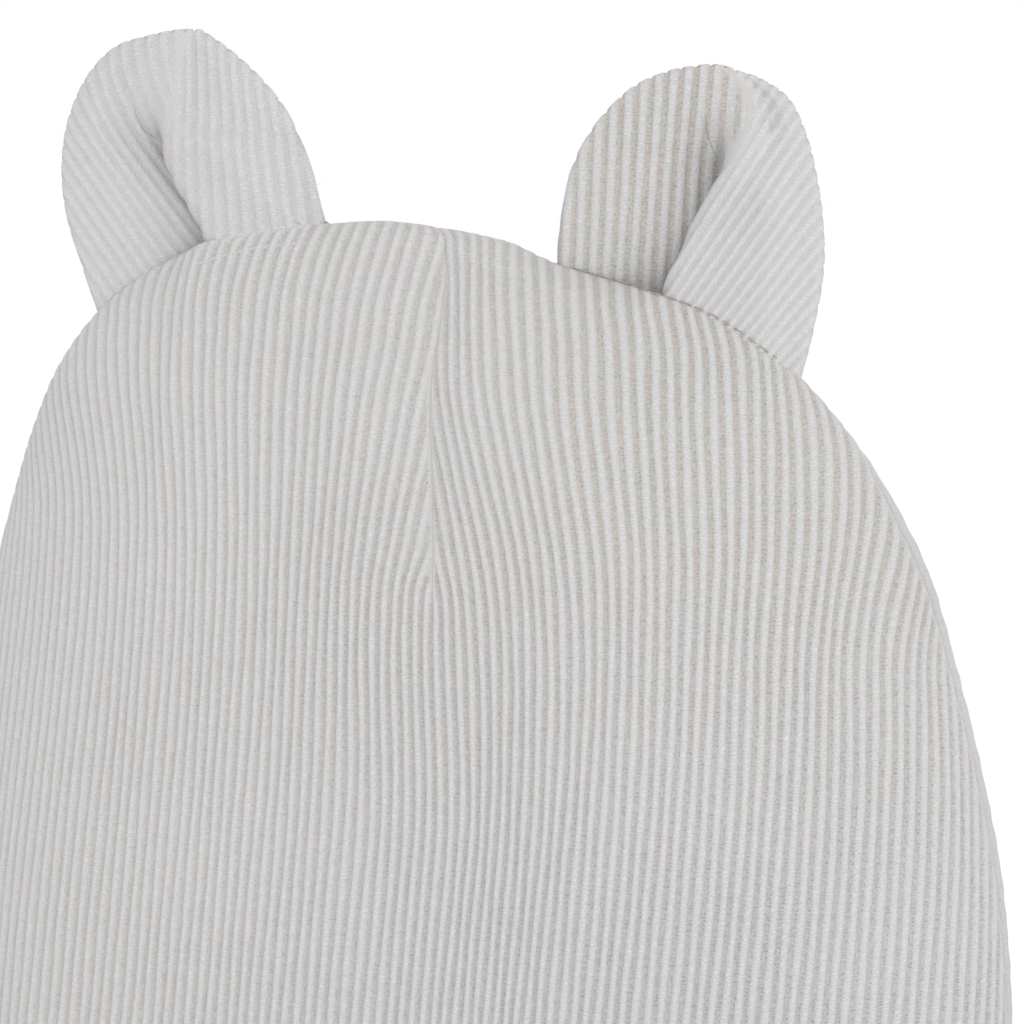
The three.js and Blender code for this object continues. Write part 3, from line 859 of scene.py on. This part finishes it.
def knit_material(name):
    """Cotton rib knit: V stitches on the bright crests, with a painted highlight along their middles and
    painted shade in their grooves; purl rungs with small gaps in the valleys, under painted beige shade
    that is deeper in the gaps and at each valley's right edge, with a painted cool reflection low on the
    right;
    painted warm shade in the hollow of the left ear; loose fibres, and drifts of tint."""
    material, tree, place = new_material(name)
    map_uv = node(tree, "UVMap", {"uv_map": "Knit"}, {})
    rib, run = (axis_of(tree, map_uv, axis) for axis in (0, 1))
    plain = node(tree, "Attribute", {"attribute_name": "Plain"}, {}, 2)
    across, behind, rise = (axis_of(tree, place, axis) for axis in (0, 1, 2))
    waver = noise(tree, place, 900.0, 2.0)
    tuft = noise(tree, place, 2900.0, 3.0)
    fibre = noise(tree, place, 5200.0, 3.0)
    drift = noise(tree, place, 260.0, 1.0)
    cloud = noise(tree, place, 28.0, 3.0)
    # Crests, valleys and stitches, by the rib number and the length along it
    part = (rib + (waver - 0.5) * 0.20 + (tuft - 0.5) * 0.14).fraction()
    beside = (part - 0.5).absolute() * 2
    shown = 1 - plain.maths("MINIMUM", plain, 1.0)
    stitched = 1 - plain.smooth(1.1, 1.4)
    # Strength of the painted valley shade: none where the knit is plain, stronger towards the right
    ribbed = shown * (0.50 + across.smooth(-0.060, 0.040) * 0.45)
    in_valley = beside.smooth(0.40, 0.75)
    turns = run / STITCH + (waver - 0.5) * 2.6 + (tuft - 0.5) * 1.5
    leg = ((turns + beside * 0.9).fraction() - 0.5).absolute() * 2
    groove = leg.smooth(0.50, 1.0) * stitched
    rung = (turns.fraction() - 0.5).absolute() * 2
    gap = rung.smooth(0.30, 0.95) * tuft.smooth(0.40, 0.60)
    # Painted shade: a dark line along the right edge of each valley, where the next crest's flank would be
    # shaded
    right_edge_shade = (1 - (part - 0.17).absolute().smooth(0.02, 0.13)) * gap
    crest_height = (1 - groove * 0.5) + fibre * 0.5 + tuft * 0.5
    valley_height = (0.9 - gap * 0.7) + fibre * 0.4 + tuft * 0.4
    sunk = in_valley * shown
    height = crest_height * (1 - sunk) + valley_height * sunk
    # Painted shade of the valleys: a warm tint drifting at random between pink, beige and green-grey, with
    # a painted cool reflection low down on the right
    cool_reflection = (1 - rise.smooth(0.055, 0.115)) * across.smooth(-0.040, 0.010)
    tint = tinted(tree, PINK, [
        (drift.smooth(0.38, 0.50), BEIGE),
        (drift.smooth(0.50, 0.62), GREEN_GREY),
        (cool_reflection * 0.75, COOL_GREY),
    ])
    # Painted warm shade in the hollow of the left ear, on its front only
    beside_hollow, above_hollow = across - HOLLOW[0], rise - HOLLOW[1]
    in_front = 1 - behind.smooth(-0.0015, 0.0005)
    hollow = 1 - (beside_hollow * beside_hollow + above_hollow * above_hollow).smooth(0.0, 0.000012)
    shade = tinted(tree, CREST, [
        (tuft.smooth(0.46, 0.66) * 0.8, FLECK_AND_HIGHLIGHT),
        # Painted highlight along the middle of each crest
        ((1 - beside.smooth(0.0, 0.45)) * 0.35, FLECK_AND_HIGHLIGHT),
        # Painted shade in the grooves between the stitch legs
        (groove * 0.28, PLAIN),
        # Painted shade in the valleys
        (in_valley * ribbed, tint),
        # Random patches of deeper painted shade in the valleys
        (tuft.smooth(0.50, 0.66) * in_valley * ribbed * 0.30, GAP_SHADE_AND_SPECK),
        (fibre.smooth(0.52, 0.70) * 0.45, FLECK_AND_HIGHLIGHT),
        ((1 - fibre.smooth(0.32, 0.47)) * 0.22, GAP_SHADE_AND_SPECK),
        # Painted shade along the right edge of each valley
        (right_edge_shade * ribbed * 0.65, GAP_SHADE_AND_SPECK),
        # Painted shade in the gaps between the purl rungs
        (gap * in_valley * ribbed * 0.22, GAP_SHADE_AND_SPECK),
        (plain.smooth(0.43, 0.52) * 0.35, FLECK_AND_HIGHLIGHT),
        (plain.smooth(0.6, 1.0) * 0.5, PLAIN),
        (plain.smooth(1.6, 1.9), SEAM_SHADE),
        # Painted shade in the hollow
        (hollow * in_front * 0.7, HOLLOW_SHADE),
        (cloud.smooth(0.35, 0.65) * 0.16, FLECK_AND_HIGHLIGHT),
    ])
    bump = node(tree, "Bump", {}, {"Strength": 0.7, "Distance": 0.00012, "Height": height})
    cloth_surface(tree, {"Base Color": shade, "Roughness": 0.86 + fibre * 0.1, "Normal": bump,
                         "Sheen Weight": 0.12, "Sheen Roughness": 0.6})
    return material


def yarn_material(name, colour, dark):
    """Matt cotton yarn with twist shading from fine noise."""
    material, tree, place = new_material(name)
    twist = noise(tree, place, 3200.0, 2.0)
    shade = tinted(tree, dark, [(twist.smooth(0.4, 0.65), colour)])
    bump = node(tree, "Bump", {}, {"Strength": 0.4, "Distance": 0.00005, "Height": twist})
    cloth_surface(tree, {"Base Color": shade, "Roughness": 0.8 + twist * 0.15, "Normal": bump})
    return material


def tapered_tubes(name, spines, radii, sides):
    """Closed tubes in one mesh: spines is an array of tubes, knots and xyz; the first and last knot are
    the tips, and each ring between has its radius in radii."""
    tubes, knots = spines.shape[:2]
    way = unit(spines[:, 2:] - spines[:, :-2])
    aside = unit(np.cross(way, np.where(np.abs(way[..., 2:]) > 0.9, [1.0, 0, 0], [0, 0, 1.0])))
    across = np.cross(way, aside)
    turn = np.arange(sides) * 2 * math.pi / sides
    ring = aside[:, :, None] * np.cos(turn)[:, None] + across[:, :, None] * np.sin(turn)[:, None]
    rings = spines[:, 1:-1, None] + ring * np.asarray(radii)[:, None, None]
    points = np.concatenate([spines[:, :1], rings.reshape(tubes, -1, 3), spines[:, -1:]], axis=1)
    each = points.shape[1]
    start = np.arange(tubes)[:, None] * each
    k = np.arange(sides)
    after = (k + 1) % sides
    between = np.stack([k, after, after + sides, k + sides], axis=1)
    quads = np.concatenate([1 + r * sides + between for r in range(knots - 3)])
    last = each - 1 - sides
    tips = np.concatenate([np.stack([0 * k, 1 + after, 1 + k], axis=1),
                           np.stack([0 * k + each - 1, last + k, last + after], axis=1)])
    quads = (start[:, :, None] + quads).reshape(-1, 4)
    tips = (start[:, :, None] + tips).reshape(-1, 3)
    flat = points.reshape(-1, 3)
    return make_mesh(name, flat, quads, tips, flat[:, ::2])


def face_values(piece, name, size):
    """Rows of one value of each outer face of a cloth piece."""
    values = np.empty(len(piece.data.polygons) * size)
    piece.data.polygons.foreach_get(name, values)
    return values.reshape(-1, size)[:OUTER_FACES[piece.name]]


# Loose fibre ends, in mm: depth of their foot, least and greatest length, and radius at two knots
FIBRE_FOOT = 0.1
FIBRE_LENGTHS = (0.3, 0.9)
FIBRE_RADII = (0.018, 0.013)
FIBRE_SEED = 11


def make_fibres(name, pieces, count):
    """Loose fibre ends spread evenly over the outer faces of the cloth, that stand off it more or less
    along it and curl at their tips."""
    chance = np.random.default_rng(FIBRE_SEED)
    spines = []
    areas = [face_values(piece, "area", 1)[:, 0] for piece in pieces]
    total = sum(area.sum() for area in areas)
    for piece, area in zip(pieces, areas):
        some = chance.choice(len(area), int(count * area.sum() / total), p=area / area.sum())
        foot = face_values(piece, "center", 3)[some] / MM
        rise = face_values(piece, "normal", 3)[some]
        lie = unit(chance.normal(size=foot.shape))
        curl = unit(chance.normal(size=foot.shape))
        reach = chance.uniform(*FIBRE_LENGTHS, (len(foot), 1))
        steps = [foot - FIBRE_FOOT * rise]
        for k in (0.25, 0.7, 1.0):
            steps.append(foot + reach * k * (0.75 * rise + 0.6 * lie) + reach * k * k * 0.35 * curl)
        spines.append(np.stack(steps, axis=1))
    return tapered_tubes(name, np.concatenate(spines), FIBRE_RADII, 3)


# Threads, in mm: pitch, length and sag of their stitches, and radius at the three inner knots
EAR_STITCHES = (1.9, 1.6, 0.15)
EAR_THREAD_RADII = (0.08, 0.09, 0.08)
HEM_STITCHES = (2.6, 2.0, 0.2)
HEM_THREAD_RADII = (0.12, 0.14, 0.12)
HEM_ROWS = (13.2, 15.2)
THREAD_SIDES = 6


def thread_run(line, pitch, length, sag):
    """Spines of the stitches of a thread run along a line of points with their outward directions."""
    points, rise = line
    run = lengths(points[None], axis=1)[0]
    starts = np.arange(0.4 * pitch, run[-1] - pitch, pitch)
    spines = []
    for share, lift in ((0, -1), (0.12, -0.2), (0.5, 0.3), (0.88, -0.2), (1, -1)):
        at = starts + share * length
        here, out = (np.stack([np.interp(at, run, column) for column in grid.T], axis=1)
                     for grid in (points, rise))
        spines.append(here + unit(out) * (lift * sag))
    return np.stack(spines, axis=1)


def base_line(ear, side):
    """Line a little under where the cloth of an ear goes into the crown seam, on the front or back."""
    ends = [ear.middle * HALF_WIDTH + ear.rows[name][0] * EAR_WIDTH for name in ("xl", "xr")]
    x = np.linspace(ends[0] + 1.5, ends[1] - 1.8, 200)
    points = np.stack([x, side * (seam_half(x) + 0.15), crown_height(x) - 0.2], axis=1)
    return points, np.broadcast_to([0, side * 0.8, 0.6], points.shape)


def hem_line(panel, side, height):
    """Line round one half of a panel at the top of its hem, just under the skin."""
    spread = SPREADS[panel.name, side.sign]
    heights = along(SECTIONS["height"], spread.place) * HAT_HEIGHT
    place = np.full(300, np.interp(height, heights, spread.place))
    away = np.linspace(0, np.interp(place[0], spread.place, spread.reach) - 0.6, len(place))
    points, normals = spread.surface(place, away)
    return points - 0.12 * normals, normals


# Seam edges turned in under the crown, in mm: how far they pass the gap, and their depths
ALLOWANCE_EXTRA = 1.2
ALLOWANCE_DEPTHS = (3.1, 2.4)


def make_seam_allowance(low, high):
    """Turned-in seam edges under the crown seam: a flat band from x low to high, as wide as the seam
    gap and a little more, that lies between two depths under the crown line."""
    x = np.linspace(low, high, 160)
    z = crown_height(x)
    slope = np.gradient(z, x)
    normal = unit(np.stack([-slope, 0 * x, np.ones_like(x)], axis=1))
    crown = np.stack([x, 0 * x, z], axis=1)
    wide = (seam_half(x) + ALLOWANCE_EXTRA)[:, None] * (0, 1, 0)
    under, over = (crown - depth * normal for depth in ALLOWANCE_DEPTHS)
    ring = np.stack([under - wide, under + wide, over + wide, over - wide], axis=1)
    corner = np.arange(4)
    start = 4 * np.arange(len(x) - 1)[:, None]
    first, after = start + corner, start + (corner + 1) % 4
    quads = np.stack([first, after, after + 4, first + 4], axis=-1).reshape(-1, 4)
    quads = np.concatenate([quads, [corner[::-1]], [corner + 4 * (len(x) - 1)]])
    points = ring.reshape(-1, 3)
    uv = points[:, 1::-1] / (RIB_PITCH, 1)
    return make_mesh("crown_seam_allowance", points, quads, np.empty((0, 3), int), uv, np.ones(len(points)))


def finish_small(piece, material):
    """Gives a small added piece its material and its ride."""
    piece.data.materials.append(material)
    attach(piece, "root")


def dress(piece, node_name, material):
    """Gives a cloth piece its material and lets it stand for its node."""
    piece.data.materials.append(material)
    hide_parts(node_name)
    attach(piece, "root")


cloths = []
for one_panel in PANELS:
    cloths.append(make_panel(one_panel))
    dress(cloths[-1], one_panel.name, knit_material(one_panel.name + "_rib_knit"))
for one_ear in (LEFT_EAR, RIGHT_EAR):
    for layer_side, layer_name in ((-1, "_front"), (1, "_back")):
        node_name = one_ear.name + layer_name
        cloths.append(make_ear_layer(one_ear, layer_side))
        dress(cloths[-1], node_name, knit_material(node_name + "_rib_knit"))

FIBRE_COUNT = 10000
finish_small(make_fibres("loose_fibres", cloths, FIBRE_COUNT),
             yarn_material("cotton_fibre", (0.72, 0.72, 0.72, 1), (0.60, 0.59, 0.58, 1)))
finish_small(make_seam_allowance(SLOT_X[0] + 1, SLOT_X[-1] - 1),
             knit_material("seam_allowance_knit"))
# The seam thread shows only under the right ear, where the pleat pulls the seam open
ear_spines = np.concatenate([thread_run(base_line(RIGHT_EAR, side), *EAR_STITCHES) for side in (-1, 1)])
finish_small(tapered_tubes("ear_seam_thread", ear_spines, EAR_THREAD_RADII, THREAD_SIDES),
             yarn_material("beige_thread", (0.41, 0.345, 0.30, 1), (0.31, 0.25, 0.215, 1)))
hem_spines = np.concatenate([thread_run(hem_line(panel, side, height), *HEM_STITCHES)
                             for panel in PANELS for side in (LEFT, RIGHT) for height in HEM_ROWS])
finish_small(tapered_tubes("hem_thread", hem_spines, HEM_THREAD_RADII, THREAD_SIDES),
             yarn_material("pale_thread", (0.47, 0.46, 0.45, 1), (0.40, 0.39, 0.375, 1)))


def make_floor():
    """Plain pale floor."""
    reach = 4000.0
    corners = reach * np.array([[-1, -1, 0], [1, -1, 0], [1, 1, 0], [-1, 1, 0]])
    floor = make_mesh("floor", corners, np.array([[0, 1, 2, 3]]), np.empty((0, 3), int), corners[:, :2])
    material = bpy.data.materials.new("pale_floor")
    material.use_nodes = True
    shader = material.node_tree.nodes["Principled BSDF"]
    shader.inputs["Base Color"].default_value = (0.93, 0.93, 0.93, 1)
    shader.inputs["Roughness"].default_value = 0.9
    floor.data.materials.append(material)


def add_light(name, lamp, way, place=(0, 0, 0)):
    """Puts a lamp at a place in mm, shining one way."""
    made = add_object(name, lamp)
    made.location = Vector(place) * MM
    made.rotation_euler = Vector(way).to_track_quat("-Z", "Y").to_euler()


def make_light(name, place, aim, width, power):
    """Large soft lamp aimed at a point, places in mm."""
    lamp = bpy.data.lights.new(name, "AREA")
    lamp.shape = "SQUARE"
    lamp.size = width * MM
    lamp.energy = power
    add_light(name, lamp, Vector(aim) - Vector(place), place)


def make_sun(name, way, strength):
    """Wide soft light that falls one way everywhere."""
    lamp = bpy.data.lights.new(name, "SUN")
    lamp.energy = strength
    lamp.angle = math.radians(120)
    add_light(name, lamp, way)


def make_world(strength):
    """Even white surroundings."""
    world = bpy.data.worlds.new("studio")
    world.use_nodes = True
    back = world.node_tree.nodes["Background"]
    back.inputs["Color"].default_value = (1, 1, 1, 1)
    back.inputs["Strength"].default_value = strength
    bpy.context.scene.world = world


# Camera: turned to the hat's left side, a little above it, rolled, in degrees and mm
CAMERA_AZIMUTH = 10.0
CAMERA_ELEVATION = 8.0
CAMERA_ROLL = -3.5
CAMERA_PLACE = (62.71, -324.61, 156.03)
CAMERA_LENS = 90.5


def make_camera():
    """Camera that looks back along its own direction from the hat, then rolls about it."""
    azimuth, elevation, turn = (math.radians(a) for a in (CAMERA_AZIMUTH, CAMERA_ELEVATION, CAMERA_ROLL))
    back = Vector((math.sin(azimuth) * math.cos(elevation), -math.cos(azimuth) * math.cos(elevation),
                   math.sin(elevation)))
    right = (-back).cross(Vector((0, 0, 1))).normalized()
    up = right.cross(-back)
    side = right * math.cos(turn) - up * math.sin(turn)
    top = right * math.sin(turn) + up * math.cos(turn)
    data = bpy.data.cameras.new("camera")
    data.lens = CAMERA_LENS
    data.sensor_width = 36
    data.clip_start = 0.01
    camera = add_object("camera", data)
    turned = Matrix((side, top, back)).transposed().to_4x4()
    camera.matrix_world = Matrix.Translation(Vector(CAMERA_PLACE) * MM) @ turned
    bpy.context.scene.camera = camera


make_floor()
make_world(1.0)
make_sun("overhead_light", (0.15, 0.35, -1), 0.35)
make_light("key_light", (430, -980, 350), (0, 0, 100), 600, 3.6)
make_camera()
bpy.context.scene.view_settings.view_transform = "Standard"
